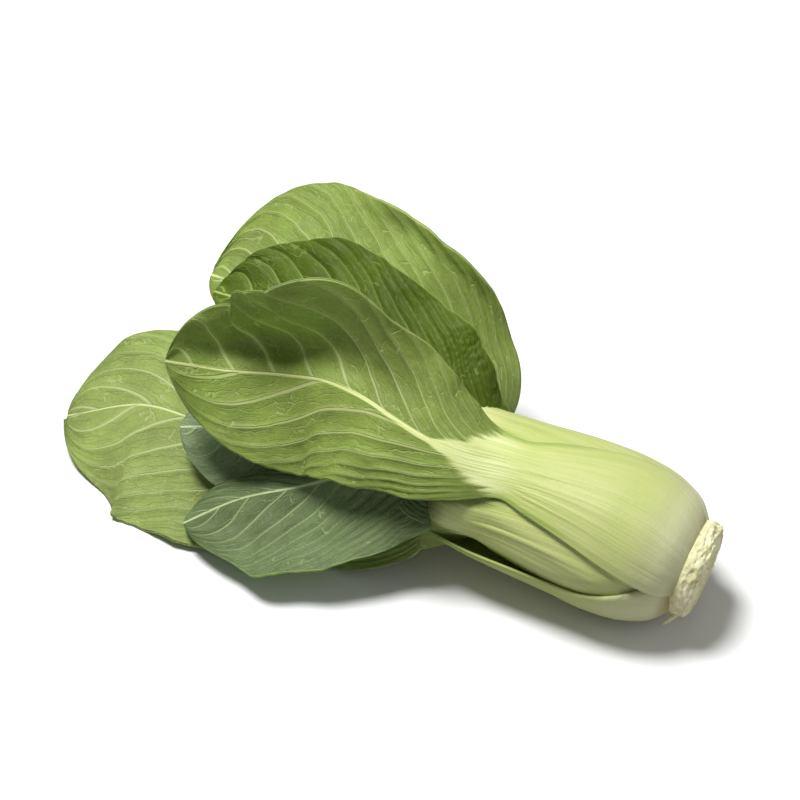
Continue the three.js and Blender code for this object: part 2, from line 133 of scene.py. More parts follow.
# Leaves from the outermost layer inwards, with the same stations as the solids. neck: where the
# petiole turns into the blade; thick: petiole thickness; wrap: where the petiole's low and high
# margins lie, in degrees round the axis from the top towards the front, at each of WRAP_AT;
# flare: how far it stands out near the neck; tip: the rounded part of the blade; wave: height,
# count and start of the margin's waves; rim: degrees that the low margin turns back; valley:
# the parts of the low half width between which its curl is made, and the part of the curl that
# is undone towards the margin. Blade stations: point on the outer side of the midrib, outward
# normal, then half widths, curls towards the inner side and folds beside the midrib, each for
# the low and the high side. What is finer than the solids: relief, how deep the blade is
# puckered; laterals, their spacing along the midrib; reach, how far on a lateral meets the
# margin, as a part of the way to the tip and millimetres more; arch, how bent it is; pale, how
# wide the pale band on the midrib is against the usual; step, the mesh spacing.
LEAVES = {
    "leaf_front": dict(wrap=([-30, -34, -29, -9, 12], [84, 77, 66, 55, 52]), neck=66, thick=6.5,
        tip=0.35, wave=(1.0, 5, 0), reach=((0.35, 10), (0.5, 45)), arch=(1.2, 1.1), relief=0.55,
        laterals=(15, 32), valley=(0.08, 0.42, 0.12), step=0.8, blade=[
            ((28.5, -33.5, 55), (2, -5.4, 7), (19, 16.5), (25, 20)),
            ((17, -34, 56.5), (1.6, -5.6, 7), (22.5, 21), (15, 20)),
            ((4.5, -32, 58.5), (1.6, -5.6, 7), (25.5, 26), (0, 15)),
            ((-9.5, -28.5, 60), (1.8, -6.1, 7), (29.5, 31), (-42, 15), (12, 0)),
            ((-23, -27, 60.5), (2.5, -6.6, 7), (42, 33), (-80, 15), (25, 0)),
            ((-39, -27, 57), (3, -6.3, 7), (43.5, 33), (-100, 10), (30, 0)),
            ((-60, -31.5, 54.5), (3.9, -5.9, 7), (37.5, 26), (-82, -10), (22, 0)),
            ((-75.5, -42, 61.5), (6.5, -4.7, 7), (33, 17), (-40, -20), (8, 0))]),
    "leaf_bottom": dict(wrap=([66, 75, 97, 108, 118], [246, 244, 240, 232, 228]), neck=88,
        thick=6, tip=0.4, wave=(0.6, 5, 0), flare=4, relief=0.4, step=1.6, blade=[
            ((0, -24, 9), (1, 0, -7), (14, 18), (20, 20)),
            ((-30, -25, 5), (0, 0, -1), (22, 22), (5, 5)),
            ((-66, -24, 3), (0, 0, -1), (26, 24), (5, 5)),
            ((-100, -20, 4), (0, 0, -1), (20, 20), (5, 5))]),
    "leaf_top": dict(wrap=([-122, -122, -115, -101, -80], [26, 22, 12, 3, -8]), neck=80,
        thick=6, tip=0.33, wave=(0.7, 5, 1), reach=((0.3, 35), (0.5, 10)), arch=(0.9, 0.8),
        relief=0.6, laterals=(14, 14), rim=-45, step=0.9, blade=[
            ((10, 1.5, 46.5), (0, 0, 7), (34, 10), (20, 15)),
            ((-13, 6, 52), (0, -4, 7), (39.5, 15), (5, 10)),
            ((-46, 9.5, 53.5), (0, -4, 7), (45, 16), (10, 10)),
            ((-87, 12, 51), (-1, -4, 7), (48, 16), (5, 10))]),
    "leaf_back": dict(wrap=([212, 212, 214, 220, 227], [332, 332, 330, 325, 317]), neck=88,
        thick=5, tip=0.4, wave=(1.5, 5, 2), relief=0.5, step=1.3, blade=[
            ((2, 11, 29), (0, 1, 0), (7, 11), (10, 10)),
            ((-30, 26, 30), (0, 1, 0.2), (12, 18), (0, 10)),
            ((-60, 38, 29), (0, 1, 0.3), (18, 20), (0, 5)),
            ((-88, 42, 27), (0, 1, 0.3), (16, 14), (0, 0))]),
    "leaf_left": dict(wrap=([52, 48, 44, 50, 72], [140, 132, 122, 117, 145]), neck=74,
        thick=5.5, tip=0.3, wave=(2, 5, 0), reach=((0.4, 40), (0.4, 50)), arch=(1, 1), relief=0.5,
        laterals=(22, 22), pale=0.45, step=0.9, blade=[
            ((18.5, -39, 30), (1, -6, 5), (10, 15), (10, 10)),
            ((0, -38, 22), (0, -6, 4), (12, 22.5), (10, -10)),
            ((-28, -33, 22), (0, -4, 5), (26, 34.5), (5, -18)),
            ((-62, -29, 21), (0, -3.5, 6), (35, 42), (0, -5)),
            ((-95, -26, 18), (-1, -3, 7), (30.5, 43), (0, 5)),
            ((-123.5, -32, 6), (-2, -2.5, 6), (30, 37), (0, 5))]),
    "leaf_back_low": dict(wrap=([173, 174, 178, 180, 186], [283, 282, 280, 277, 270]), neck=88,
        thick=5, tip=0.4, wave=(1, 5, 3), relief=0.4, step=1.4, blade=[
            ((0, -3, 19), (0, 4, -6), (12, 11), (15, 15)),
            ((-30, 12, 14), (0, 1, -7), (22, 22), (0, 0)),
            ((-60, 22, 10), (0, -1.5, -7), (26, 28), (0, -10)),
            ((-88, 26, 8), (0, -1, -7), (18, 18), (0, 0))]),
    "leaf_inner": dict(wrap=([155, 155, 157, 160, 163], [235, 235, 233, 230, 227]), neck=68,
        thick=3.2, tip=0.4, wave=(0.8, 5, 0), relief=0.5, step=1.0, blade=[
            ((20, -19, 26), (0, 1, -4), (6, 7), (25, 25)),
            ((8, -24, 35), (0, 4, -6), (6, 8), (0, 0)),
            ((-8, -26, 35), (0, 5, -6), (9, 11), (0, 0)),
            ((-30, -26, 31), (0, 5, -6), (14, 16), (0, 0)),
            ((-60, -33, 28), (0, 5, -6), (26, 18), (0, 0)),
            ((-74, -38, 27), (0, 4, -6), (26, 14), (0, 0))]),
    "leaf_lower_dark": dict(wrap=([112, 112, 115, 119, 126], [204, 204, 201, 197, 190]),
        neck=68, thick=3.4, tip=0.4, wave=(0.8, 5, 0), reach=((0.45, 30), (0.5, 8)), arch=(1, 1),
        relief=0.55, laterals=(13, 13), step=0.7, blade=[
            ((24.5, -29, 37), (-2, 6.5, -6), (12, 5), (0, 20)),
            ((16.5, -30, 45.5), (-2, 6.5, -6.5), (22, 5), (0, 0)),
            ((3, -36, 41), (-2, 6.5, -6.5), (26.5, 6), (0, 0)),
            ((-22.5, -43.5, 26), (-1, 5, -6), (31.5, 8), (40, -30)),
            ((-45, -52, 17), (-1, 5, -6), (34, 9), (48, -30)),
            ((-61, -62, 8), (0, 5, -6), (25, 8), (40, -20))]),
    "leaf_upper_dark": dict(wrap=([179, 179, 182, 186, 193], [271, 271, 268, 264, 257]),
        neck=66, thick=3.4, tip=0.4, wave=(1.5, 6, 0), relief=1.0, step=0.8, blade=[
            ((26, -17, 37), (0, 6, -2), (3, 21), (0, -70)),
            ((6, -17, 47), (-1, 6, -4), (5, 33), (0, -30)),
            ((-18, -10, 57), (-1, 5, -7), (12, 32), (0, -5)),
            ((-46, -3, 59), (-1, 5, -7), (12, 32), (0, -5)),
            ((-80, 2, 54), (-1, 5, -7), (12, 22), (0, 0))]),
    "heart_leaf": dict(wrap=([-10, -10, -3, 5, 10], [90, 90, 83, 75, 70]), neck=46, thick=3,
        tip=0.4, wave=(0, 1, 0), relief=0.2, step=1.4, blade=[
            ((44, -22, 40), (0, -3, 5), (6, 6), (20, 20)),
            ((30, -25, 43), (0, -3, 5), (6, 6), (10, 10))]),
}
ORDER = list(LEAVES)


# Plain maths

def smooth(x):
    """0 below 0, 1 above 1, and 3x^2 - 2x^3 between."""
    x = np.clip(x, 0, 1)
    return x * x * (3 - 2 * x)


def ramp(span, x):
    """0 before the span's start, 1 past its end, and smooth between."""
    start, done = span
    return smooth((x - start) / (done - start))


def curve(xs, ys, x):
    """Cubic through the stations, each tangent the weighted mean of its two slopes."""
    xs, ys, x = np.asarray(xs, float), np.asarray(ys, float), np.asarray(x, float)
    flat = ys.ndim == 1
    if flat:
        ys = ys[:, None]
    shape, x = x.shape, x.ravel()
    h = np.diff(xs)[:, None]
    d = np.diff(ys, axis=0) / h
    m = np.vstack([d[:1], (d[:-1] * h[1:] + d[1:] * h[:-1]) / (h[1:] + h[:-1]), d[-1:]])
    i = np.clip(np.searchsorted(xs, x, side="right") - 1, 0, len(xs) - 2)
    w = h[i]
    t = ((x - xs[i]) / w[:, 0])[:, None]
    out = ((2 * t**3 - 3 * t**2 + 1) * ys[i] + (t**3 - 2 * t**2 + t) * w * m[i]
           + (3 * t**2 - 2 * t**3) * ys[i + 1] + (t**3 - t**2) * w * m[i + 1])
    return out[:, 0].reshape(shape) if flat else out.reshape(*shape, ys.shape[1])


def unit(a):
    """The same directions at length 1."""
    return a / np.maximum(np.linalg.norm(a, axis=-1, keepdims=True), 1e-9)


LATTICE_SIZE = 64
LATTICE = np.random.RandomState(7).rand(LATTICE_SIZE, LATTICE_SIZE)


def noise(x, y):
    """Value noise from -1 to 1: random numbers on a unit grid, blended smoothly between."""
    xi, yi = np.floor(x).astype(int), np.floor(y).astype(int)
    u, v = smooth(x - xi), smooth(y - yi)

    def corner(a, b):
        return LATTICE[(xi + a) % LATTICE_SIZE, (yi + b) % LATTICE_SIZE]

    low = corner(0, 0) * (1 - u) + corner(1, 0) * u
    high = corner(0, 1) * (1 - u) + corner(1, 1) * u
    return 2 * (low * (1 - v) + high * v) - 1


# The head of nested petioles

def wrapped(leaf, u):
    """Middle and half width, in degrees round the head, of a petiole at distance u."""
    low, high = (curve(WRAP_AT, side, np.minimum(u, WRAP_AT[-1])) for side in leaf["wrap"])
    return (low + high) / 2, (high - low) / 2


def petiole_thickness(leaf, u, a):
    """Thin margins, and (1 - a^2)^2 of the rest at the part a of the half width."""
    full = leaf["thick"] * (1 - (1 - NECK_THIN) * ramp(THINNING, u))
    return MARGIN + (full - MARGIN) * np.clip(1 - a * a, 0, 1) ** 2


def room_taken(leaf, u, phi):
    """Room that an outer petiole takes: its thickness and a gap, fading past its margins."""
    middle, half = wrapped(leaf, u)
    off = np.abs((phi - middle + 180) % 360 - 180)
    inside = petiole_thickness(leaf, u, np.minimum(off / half, 1)) + LAYER_GAP
    beyond = (MARGIN + LAYER_GAP) * (1 - smooth((off - half) / TUCK))
    return np.where(off <= half, inside, beyond)


def outer_radius(name, u, phi):
    """The bulb's radius and the leaf's flare, less the room of the petioles outside it."""
    r = curve(BULB_AT, BULB_RADIUS, u) + LEAVES[name].get("flare", 0) * ramp(FLARE, u)
    for other in ORDER[:ORDER.index(name)]:
        r = r - room_taken(LEAVES[other], u, phi)
    return r


def head_point(u, r, phi):
    """Point at distance u along the head, r out from its axis, phi round from the top."""
    phi = np.radians(phi)
    return (BUTT + np.asarray(u)[..., None] * ALONG + (r * np.cos(phi))[..., None] * TOP
            + (r * np.sin(phi))[..., None] * FRONT)


def neck_station(name, u):
    """Blade station that matches the petiole: an arc from its middle to each margin."""
    u = np.array(float(u))
    phi, half = wrapped(LEAVES[name], u)
    middle = head_point(u, outer_radius(name, u, phi), phi)
    normal = math.cos(math.radians(phi)) * TOP + math.sin(math.radians(phi)) * FRONT
    side = np.cross(normal, ALONG)
    widths, curls = [], []
    for sign in (-1, 1):
        at = phi + sign * half
        chord = head_point(u, outer_radius(name, u, at), at) - middle
        turn = math.atan2(-(chord @ normal), sign * (chord @ side))
        widths.append(np.linalg.norm(chord) * turn / math.sin(turn))
        curls.append(math.degrees(2 * turn))
    return [*middle, *normal, *widths, *curls, 0, 0]


def stations(name):
    """Distances along a leaf and its stations there, two on the petiole before the blade's."""
    neck = LEAVES[name]["neck"]
    rows = [neck_station(name, neck - BLEND), neck_station(name, neck)]
    for point, outward, halves, curls, *folds in LEAVES[name]["blade"]:
        rows.append([*point, *unit(np.array(outward, float)), *halves, *curls,
                     *(folds[0] if folds else (0, 0))])
    rows = np.array(rows, float)
    steps = np.linalg.norm(np.diff(rows[:, :3], axis=0), axis=1)
    return neck - BLEND + np.concatenate([[0], np.cumsum(steps)]), rows


class LeafGrid:
    """Rows along a leaf and columns across it, with what each point takes from the stations.

    L is a point's distance from the butt, V its place from -1 at the low margin to 1 at the
    high one, A that place without its sign and x its distance from the midrib. The outline
    closes with sqrt(1 - t^2.6) over the tip, and its margin is notched by noise.
    """

    def __init__(self, name):
        self.name, self.leaf = name, LEAVES[name]
        self.seed = SEED_STEP * ORDER.index(name)
        self.neck, step = self.leaf["neck"], self.leaf["step"]
        at, rows = stations(name)
        self.end = at[-1]
        self.blade_length = self.end - self.neck
        petiole_rows = int((self.neck - LEAF_START) / (step * PETIOLE_STEP))
        blade_rows = int(self.blade_length / step)
        half_columns = int(rows[:, WIDTHS:CURLS].max() / step)
        k = np.arange(blade_rows + 1) / blade_rows
        lengths = np.concatenate([
            np.linspace(LEAF_START, self.neck, petiole_rows, endpoint=False),
            self.end - self.blade_length * (1 - k) ** CLOSER_AT_TIP])
        v = np.linspace(-1, 1, 2 * half_columns + 1)
        v = np.sign(v) * ((1 - CLOSER_AT_RIB) * np.abs(v) + CLOSER_AT_RIB * np.abs(v) ** 2)
        self.L, self.V = np.meshgrid(lengths, v, indexing="ij")
        self.A, self.high = np.abs(self.V), self.V >= 0
        self.sign = np.where(self.high, 1.0, -1.0)

        s = np.maximum(lengths, at[0])
        here = curve(at, rows, s)
        ahead, behind = curve(at, rows, s + NEARBY), curve(at, rows, s - NEARBY)
        along = unit(ahead[:, :3] - behind[:, :3])
        self.middle = here[:, None, :3]
        side = unit(np.cross(unit(here[:, 3:6]), along))
        self.side, self.normal = side[:, None], np.cross(along, side)[:, None]
        width, bend, fold = (self.of_side((here[:, first, None], here[:, first + 1, None]))
                             for first in (WIDTHS, CURLS, FOLDS))
        tip = self.leaf["tip"] * self.blade_length
        near_tip = np.clip((lengths - (self.end - tip)) / tip, 0, 1)
        rounding = np.sqrt(np.maximum(1 - near_tip**TIP_POWER, TIP_LEFT))
        self.open_blade = ramp(RAGGED_NECK, self.L - self.neck)
        (coarse, long, apart), (fine, short, further) = RAGGED
        ragged = 1 + self.open_blade * (
            coarse * noise(self.L / long + self.seed, self.sign * apart)
            + fine * noise(self.L / short, self.sign * further + self.seed))
        self.width = width * rounding[:, None] * ragged
        self.bend, self.fold = np.radians(bend), np.radians(fold)
        self.x = self.V * self.width

    def of_side(self, pair):
        """The pair's first value on the low side and its second on the high side."""
        return np.where(self.high, pair[1], pair[0])


# Leaf forms, each worked out for all points of a leaf's grid

def curled(g):
    """Share of a side's curl that is made so far: even, or in the valley of a low side."""
    if "valley" not in g.leaf:
        return g.A
    start, done, undone = g.leaf["valley"]
    made = ramp((start, done), g.A) * (1 - undone * ramp((done, 1), g.A))
    return np.where(g.high, g.A, made)


def section(g):
    """How far a blade has come across and down from its midrib, and how far it has turned.

    It turns by its fold beside the midrib, its curl over the whole half width and its rim.
    Across and down are the sums of the turn's cosine and sine over the strips between.
    """
    turn = g.fold * smooth(g.A * g.width / FOLD_WIDTH) + g.bend * curled(g)
    reaches = ramp(RIM_NECK, g.L - g.neck) * ramp(RIM_TIP, g.end - g.L)
    rim = math.radians(g.leaf.get("rim", 0)) * ramp(RIM, g.A)
    turn = turn + np.where(g.high, 0, rim * reaches)
    between = (turn[:, :-1] + turn[:, 1:]) / 2
    stride = np.diff(g.V) * (g.width[:, :-1] + g.width[:, 1:]) / 2
    toward = np.where(g.V[:, 1:] > 0, -1.0, 1.0)
    first, midrib = np.zeros((len(g.V), 1)), g.V.shape[1] // 2
    across, down = (np.concatenate([first, np.cumsum(part, 1)], 1)
                    for part in (stride * np.cos(between), stride * toward * np.sin(between)))
    return across - across[:, midrib, None], down - down[:, midrib, None], turn


def margin_waves(g):
    """Height times a^3, times the sine of the turns made since the neck."""
    height, count, start = g.leaf["wave"]
    turns = count * 2 * math.pi * (g.L - g.neck) / g.blade_length
    return (height * ramp(WAVE_NECK, g.L - g.neck) * g.A**3
            * np.sin(turns + start + g.of_side((0, WAVE_LAG))))


def lateral_phase(g):
    """Laterals between the neck and each point; a half past a whole number lies on one.

    A lateral starts on the midrib at s and reaches the margin share * (end - s) + more
    millimetres on, in between at A ** (1 / arch) of that way. Noise lets s wander.
    """
    share, more = (g.of_side(pair) for pair in zip(*g.leaf.get("reach", REACH)))
    way = g.A ** (1 / g.of_side(g.leaf.get("arch", ARCH)))
    start = (g.L - way * (share * g.end + more)) / (1 - share * way)
    (far, wide, long), (near, narrow, short) = WANDER
    start = (start + far * noise(g.x / wide + g.seed, g.L / long)
             + near * noise(g.x / narrow, g.L / short + g.seed))
    spacing = g.of_side(g.leaf.get("laterals", SPACING))
    return (start - g.neck) / spacing + LATERAL_SHIFT * g.sign


def pale_rib(g):
    """1 on the pale band of the midrib and 0 off it, its width frayed by noise."""
    band = np.interp(g.L, [*(g.neck + past for past in PALE_AT), g.end], PALE_BAND)
    fingers, length = FINGERS
    fray = 1 + PALE_FRAY * noise(g.V * fingers + g.seed, g.L / length)
    band = band * g.leaf.get("pale", 1) * fray
    part, more = PALE_FADE
    return 1 - smooth((g.A * g.width - PALE_SOLID * band) / (part * band + more))


def relief(g, phase, pale):
    """Raised veins, sunken panels and noise for the puckers, less towards rib and margin."""
    off = np.abs(phase % 1 - 0.5) * 2
    vein, panel = 1 - smooth(off / VEIN_EDGE), smooth(off / PANEL_EDGE)
    (much, wide, long), (little, narrow, short) = PUCKERS
    pucker = (much * noise(g.x / wide + g.seed, g.L / long)
              + little * noise(g.x / narrow, g.L / short + g.seed))
    pucker = pucker * (PUCKER_ON_VEIN + (1 - PUCKER_ON_VEIN) * panel)
    depth = g.leaf["relief"] * g.open_blade * (1 - pale)
    depth = depth * (1 - np.exp(-(g.A * g.width / RELIEF_FROM_RIB) ** 2))
    depth = depth * (1 - RELIEF_LOST * ramp(RELIEF_AT_MARGIN, g.A))
    return depth * (VEIN_HIGH * vein - PANEL_DEEP * panel + PUCKER * pucker)


def blade_thickness(g):
    """The plain sheet and on it the midrib's bulge, a bell curve across."""
    rib = np.interp(g.L, [g.neck, g.end], [RIB_AT_NECK, RIB_AT_TIP])
    at_neck = petiole_thickness(g.leaf, g.neck, 0) - BLADE
    fallen = g.neck + RIB_FALL * g.blade_length
    height = np.interp(g.L, [g.neck, fallen, g.end], [at_neck, RIB_MIDDLE, RIB_END])
    return BLADE + height * np.exp(-((g.A * g.width / rib) ** 2))


def petiole_faces(g):
    """Outer face on the head, grooved along by noise, and the inner one a thickness below."""
    u = np.minimum(g.L, g.neck + PAST_NECK)
    middle, half = wrapped(g.leaf, u)
    phi = middle + g.V * half
    r = outer_radius(g.name, u, phi)
    deep = GROOVE_DEPTH + GROOVE_DEEPER * ramp(GROOVE_GROWTH, g.L)
    (much, few, long), (little, many, short) = GROOVES
    groove = deep * (much * noise(g.V * few + g.seed, g.L / long)
                     + little * noise(g.V * many, g.L / short + g.seed))
    return (head_point(u, r + groove, phi),
            head_point(u, r - petiole_thickness(g.leaf, u, g.A), phi))


def leaf_faces(g, phase, pale):
    """Outer and inner face: the blade's bent section with its waves and relief, which down
    the neck turns into the petiole, none of it under the floor."""
    across, down, turn = section(g)
    local = g.side * (np.sin(turn) * g.sign)[..., None] + g.normal * np.cos(turn)[..., None]
    lift = margin_waves(g) + relief(g, phase, pale)
    outer = (g.middle + g.side * across[..., None] + g.normal * down[..., None]
             + local * lift[..., None])
    inner = outer - local * blade_thickness(g)[..., None]
    blade = ramp((-BLEND, 0), g.L - g.neck)
    outer, inner = (petiole + (face - petiole) * blade[..., None]
                    for petiole, face in zip(petiole_faces(g), (outer, inner)))

    # A blade is lifted onto the floor, a petiole is pressed flat on it
    lifted = np.maximum(0, ABOVE_FLOOR - np.minimum(outer[..., 2], inner[..., 2])) * blade
    for face in (outer, inner):
        face[..., 2] = np.maximum(face[..., 2] + lifted, 0)
    return outer, inner


# Pieces

def new_mesh(name, points, faces):
    """Smooth mesh of points in millimetres, with the origin put under the whole bunch."""
    mesh = bpy.data.meshes.new(name)
    mesh.from_pydata((points + TO_ORIGIN) * MM, [], faces.tolist())
    mesh.polygons.foreach_set("use_smooth", np.ones(len(mesh.polygons), bool))
    return mesh


def put(name, data):
    """Object that is linked into the scene."""
    thing = bpy.data.objects.new(name, data)
    bpy.context.scene.collection.objects.link(thing)
    return thing


def leaf_piece(name, material):
    """One closed leaf: two alike grids joined by a rim, with its leaf values as attributes."""
    g = LeafGrid(name)
    phase, pale = lateral_phase(g), pale_rib(g)
    outer, inner = leaf_faces(g, phase, pale)
    n = g.L.size
    index = np.arange(n).reshape(g.L.shape)
    a, b, c, d = index[:-1, :-1], index[:-1, 1:], index[1:, 1:], index[1:, :-1]
    loop = np.concatenate([index[0, :], index[1:, -1], index[-1, -2::-1], index[-2:0:-1, 0]])
    after = np.roll(loop, -1)
    faces = np.concatenate([np.stack([a, b, c, d], -1).reshape(-1, 4),
                            np.stack([a, d, c, b], -1).reshape(-1, 4) + n,
                            np.stack([loop, loop + n, after + n, after], -1)])
    points = np.concatenate([outer.reshape(-1, 3), inner.reshape(-1, 3)])
    mesh = new_mesh(name + "_fine", points, faces)
    values = dict(phase=phase, edge=g.A, open=ramp(GREENING, g.L - g.neck), rib=pale,
                  part=g.L / g.neck)
    values = {key: np.tile(value.ravel(), 2) for key, value in values.items()}
    values["inner_side"] = np.repeat([0.0, 1.0], n)
    for key, value in values.items():
        attribute = mesh.attributes.new(key, "FLOAT", "POINT")
        attribute.data.foreach_set("value", value.astype(np.float32))
    uv = np.tile(np.stack([g.x.ravel(), g.L.ravel()], -1) / UV_SPAN + 0.5, (2, 1))
    corner = np.empty(len(mesh.loops), np.int32)
    mesh.loops.foreach_get("vertex_index", corner)
    mesh.uv_layers.new(name="Leaf").data.foreach_set("uv", uv[corner].ravel())
    mesh.materials.append(material)
    piece = put(name + "_fine", mesh)
    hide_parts(name)
    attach(piece, "root")


# The cut stub: distance along the head and radius, from the middle of the cut face round its
# rim and back to the axis inside the head
STUB_PROFILE = [(-5.5, 0.0), (-5.7, 6.0), (-5.5, 11.0), (-5.2, 14.0), (-4.2, 15.4), (-2.8, 16.2),
                (-1.4, 16.6), (0.2, 16.5), (1.5, 16.2), (1.5, 8.0), (1.5, 0.0)]
STUB_SIDES, STUB_RINGS = 160, 60
# Roughness, coarse and fine: size, turns of the noise round the stub, distances along and out,
# and where the noise starts
STUB_NOISE = (0.4, 1, 1.4, 1.8, 0), (0.3, 2, 0.7, 0.8, 5)
TORN, TORN_TURNS, TORN_START, TORN_STEEP = 0.3, 0.25, 3.5, 3  # and the torn steps of the rim
FACE_ROUGH = 0.7  # part of the roughness that the cut face has
MERGE_WITHIN = 1e-5  # metres between points of the stub's poles that become one

# Root ends that hang from the stub: where they start along the head and out from its axis; then
# each one's angle round the head and the way it goes
ROOT_AT, ROOT_RADIUS = (-2.5, 15.6), 0.75
ROOT_TAPER = 0.2  # part of the radius that it gains at its start and loses at its end
ROOT_SIDES, ROOT_RINGS = 12, 11
ROOTS = [(128, (-4.5, -3.0, -5.0)), (138, (-3.0, -2.0, -2.2))]


def ring_faces(rings, sides):
    """Four-sided faces between neighbouring rings of a closed tube."""
    index = np.arange(rings * sides).reshape(rings, sides)
    a, b = index[:-1], np.roll(index[:-1], -1, 1)
    d, c = index[1:], np.roll(index[1:], -1, 1)
    return np.stack([a, d, c, b], -1).reshape(-1, 4)


def stub_points():
    """Profile turned round the head's axis. Noise moves its side out and in and its cut face
    along the axis, but neither the middle of the face nor what is inside the head."""
    profile = np.array(STUB_PROFILE, float)
    t, where = np.linspace(0, 1, STUB_RINGS), np.linspace(0, 1, len(profile))
    u, r = (np.interp(t, where, column) for column in profile.T)
    angle = np.arange(STUB_SIDES) * 360 / STUB_SIDES
    U, PHI = np.meshgrid(u, angle, indexing="ij")
    R = np.repeat(r[:, None], STUB_SIDES, 1)
    turn = PHI * LATTICE_SIZE / 360
    rough = sum(size * noise(turn * turns, U / long + R / out + first)
                for size, turns, long, out, first in STUB_NOISE)
    steps = noise(turn * TORN_TURNS, np.full_like(turn, TORN_START))
    rough = rough + TORN * smooth(steps * TORN_STEEP) * ramp((2, 4), -U)
    body = ramp((1, 4), R)
    U = U - FACE_ROUGH * rough * ramp((-0.5, 1.5), -U) * body
    R = R + rough * body * ramp((-1, 1), -U)
    return head_point(U, R, PHI).reshape(-1, 3)


def root_end(phi, way):
    """Tube along way whose radius closes with sqrt(1 - t^6) at both ends, t from -1 to 1."""
    start = head_point(ROOT_AT[0], np.array(ROOT_AT[1]), phi)
    way = np.array(way)
    t = np.linspace(-1, 1, ROOT_RINGS)
    radius = ROOT_RADIUS * np.sqrt(np.maximum(1 - t**6, 0)) * (1 - ROOT_TAPER * t)
    angle = np.linspace(0, 2 * math.pi, ROOT_SIDES, endpoint=False)
    across = unit(np.cross(way, FRONT))
    over = unit(np.cross(way, across))
    ring = np.cos(angle)[:, None] * across + np.sin(angle)[:, None] * over
    middle = start + ((t + 1) / 2)[:, None] * way
    return (middle[:, None] + radius[:, None, None] * ring).reshape(-1, 3)


def stub_piece(material):
    """The roughened stub with its root ends as one mesh, its poles merged."""
    points, faces = [stub_points()], [ring_faces(STUB_RINGS, STUB_SIDES)]
    for root in ROOTS:
        faces.append(ring_faces(ROOT_RINGS, ROOT_SIDES) + sum(map(len, points)))
        points.append(root_end(*root))
    mesh = new_mesh("cut_stub", np.concatenate(points), np.concatenate(faces))
    bm = bmesh.new()
    bm.from_mesh(mesh)
    bmesh.ops.remove_doubles(bm, verts=bm.verts, dist=MERGE_WITHIN)
    bmesh.ops.recalc_face_normals(bm, faces=bm.faces)
    bm.to_mesh(mesh)
    bm.free()
    mesh.materials.append(material)
    piece = put("cut_stub", mesh)
    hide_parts("stem_base")
    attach(piece, "root")


# Materials

class Nodes:
    """Short hand for a material's nodes: each call adds one and returns its output."""

    def __init__(self, name):
        self.material = bpy.data.materials.new(name)
        self.material.use_nodes = True
        self.tree = self.material.node_tree
        self.tree.nodes.clear()

    def add(self, kind, inputs=(), output=0, **settings):
        node = self.tree.nodes.new("ShaderNode" + kind)
        for key, value in settings.items():
            setattr(node, key, value)
        for key, value in dict(inputs).items():
            if isinstance(value, bpy.types.NodeSocket):
                self.tree.links.new(value, node.inputs[key])
            else:
                node.inputs[key].default_value = value
        return node.outputs[output] if node.outputs else None

    def math(self, operation, a, b=0.0):
        return self.add("Math", {0: a, 1: b}, operation=operation)

    def times(self, a, b):
        return self.math("MULTIPLY", a, b)

    def minus(self, a, b):
        return self.math("SUBTRACT", a, b)

    def ramp(self, value, low, high, to_low=0.0, to_high=1.0):
        return self.add("MapRange", {0: value, 1: low, 2: high, 3: to_low, 4: to_high},
                        interpolation_type="SMOOTHSTEP")

    def mix(self, factor, a, b):
        return self.add("Mix", {0: factor, 6: a, 7: b}, output=2, data_type="RGBA")

    def attribute(self, name):
        return self.add("Attribute", output=2, attribute_name=name)

    def noise(self, at, scale, detail, **more):
        return self.add("TexNoise", {"Vector": at, "Scale": scale, "Detail": detail}, **more)


def rgb(r, g, b):
    """Linear colour from 0 to 255 display values."""
    c = np.array([r, g, b]) / 255
    return (*np.where(c > 0.04045, ((c + 0.055) / 1.055) ** 2.4, c / 12.92), 1.0)


# Colours of a leaf finish: outer side, its veins, inner side and its veins; then how much
# smoother the inner side is. Three of them hold painted light or a painted sheen, as noted
FINISHES = {
    "pale leaf": ((158, 180, 84), (214, 222, 150), (88, 118, 40), (150, 175, 90), 0.12),
    # A lighter copy of the pale leaf's outer side and its veins: painted light for the leaf on
    # the left, which lies most in the light
    "pale leaf with painted light": ((174, 193, 106), (220, 228, 164), (88, 118, 40), (150, 175, 90), 0.12),
    "deep green leaf": ((130, 152, 80), (186, 200, 130), (100, 122, 28), (160, 184, 92), 0.0),
    # Inner side: the leaf's own dark green, lightened and turned greyish blue by a painted sheen
    "blue-green with painted sheen": ((130, 152, 80), (186, 200, 130), (132, 152, 104), (192, 208, 152), 0.06),
    # A lighter copy of the blue-green inner side and its veins: painted light for the small inner
    # leaf, which lies in shade under the front leaf
    "grey-green with painted light": ((130, 152, 80), (186, 200, 130), (166, 184, 142), (204, 216, 172), 0.06),
}
FINISH_OF = {"leaf_left": "pale leaf with painted light", "leaf_upper_dark": "deep green leaf",
             "leaf_inner": "grey-green with painted light", "leaf_lower_dark": "blue-green with painted sheen"}
PETIOLE_BUTT, PETIOLE_BULB = rgb(206, 206, 168), rgb(190, 196, 130)
PETIOLE_NECK, PETIOLE_TOP = rgb(190, 198, 124), rgb(222, 228, 166)
PETIOLE_FLUSH, PETIOLE_FIBRE = rgb(168, 186, 88), rgb(166, 184, 92)
PETIOLE_WING, PETIOLE_JOINT = rgb(120, 150, 58), rgb(150, 136, 74)
STUB_CREAM, STUB_STRAW, STUB_BROWN = rgb(238, 236, 196), rgb(208, 202, 148), rgb(120, 92, 48)
LIGHT_THROUGH = 0.42  # share of a blade's light that comes through it
THROUGH_RICHER = {"Saturation": 1.8, "Value": 1.5}

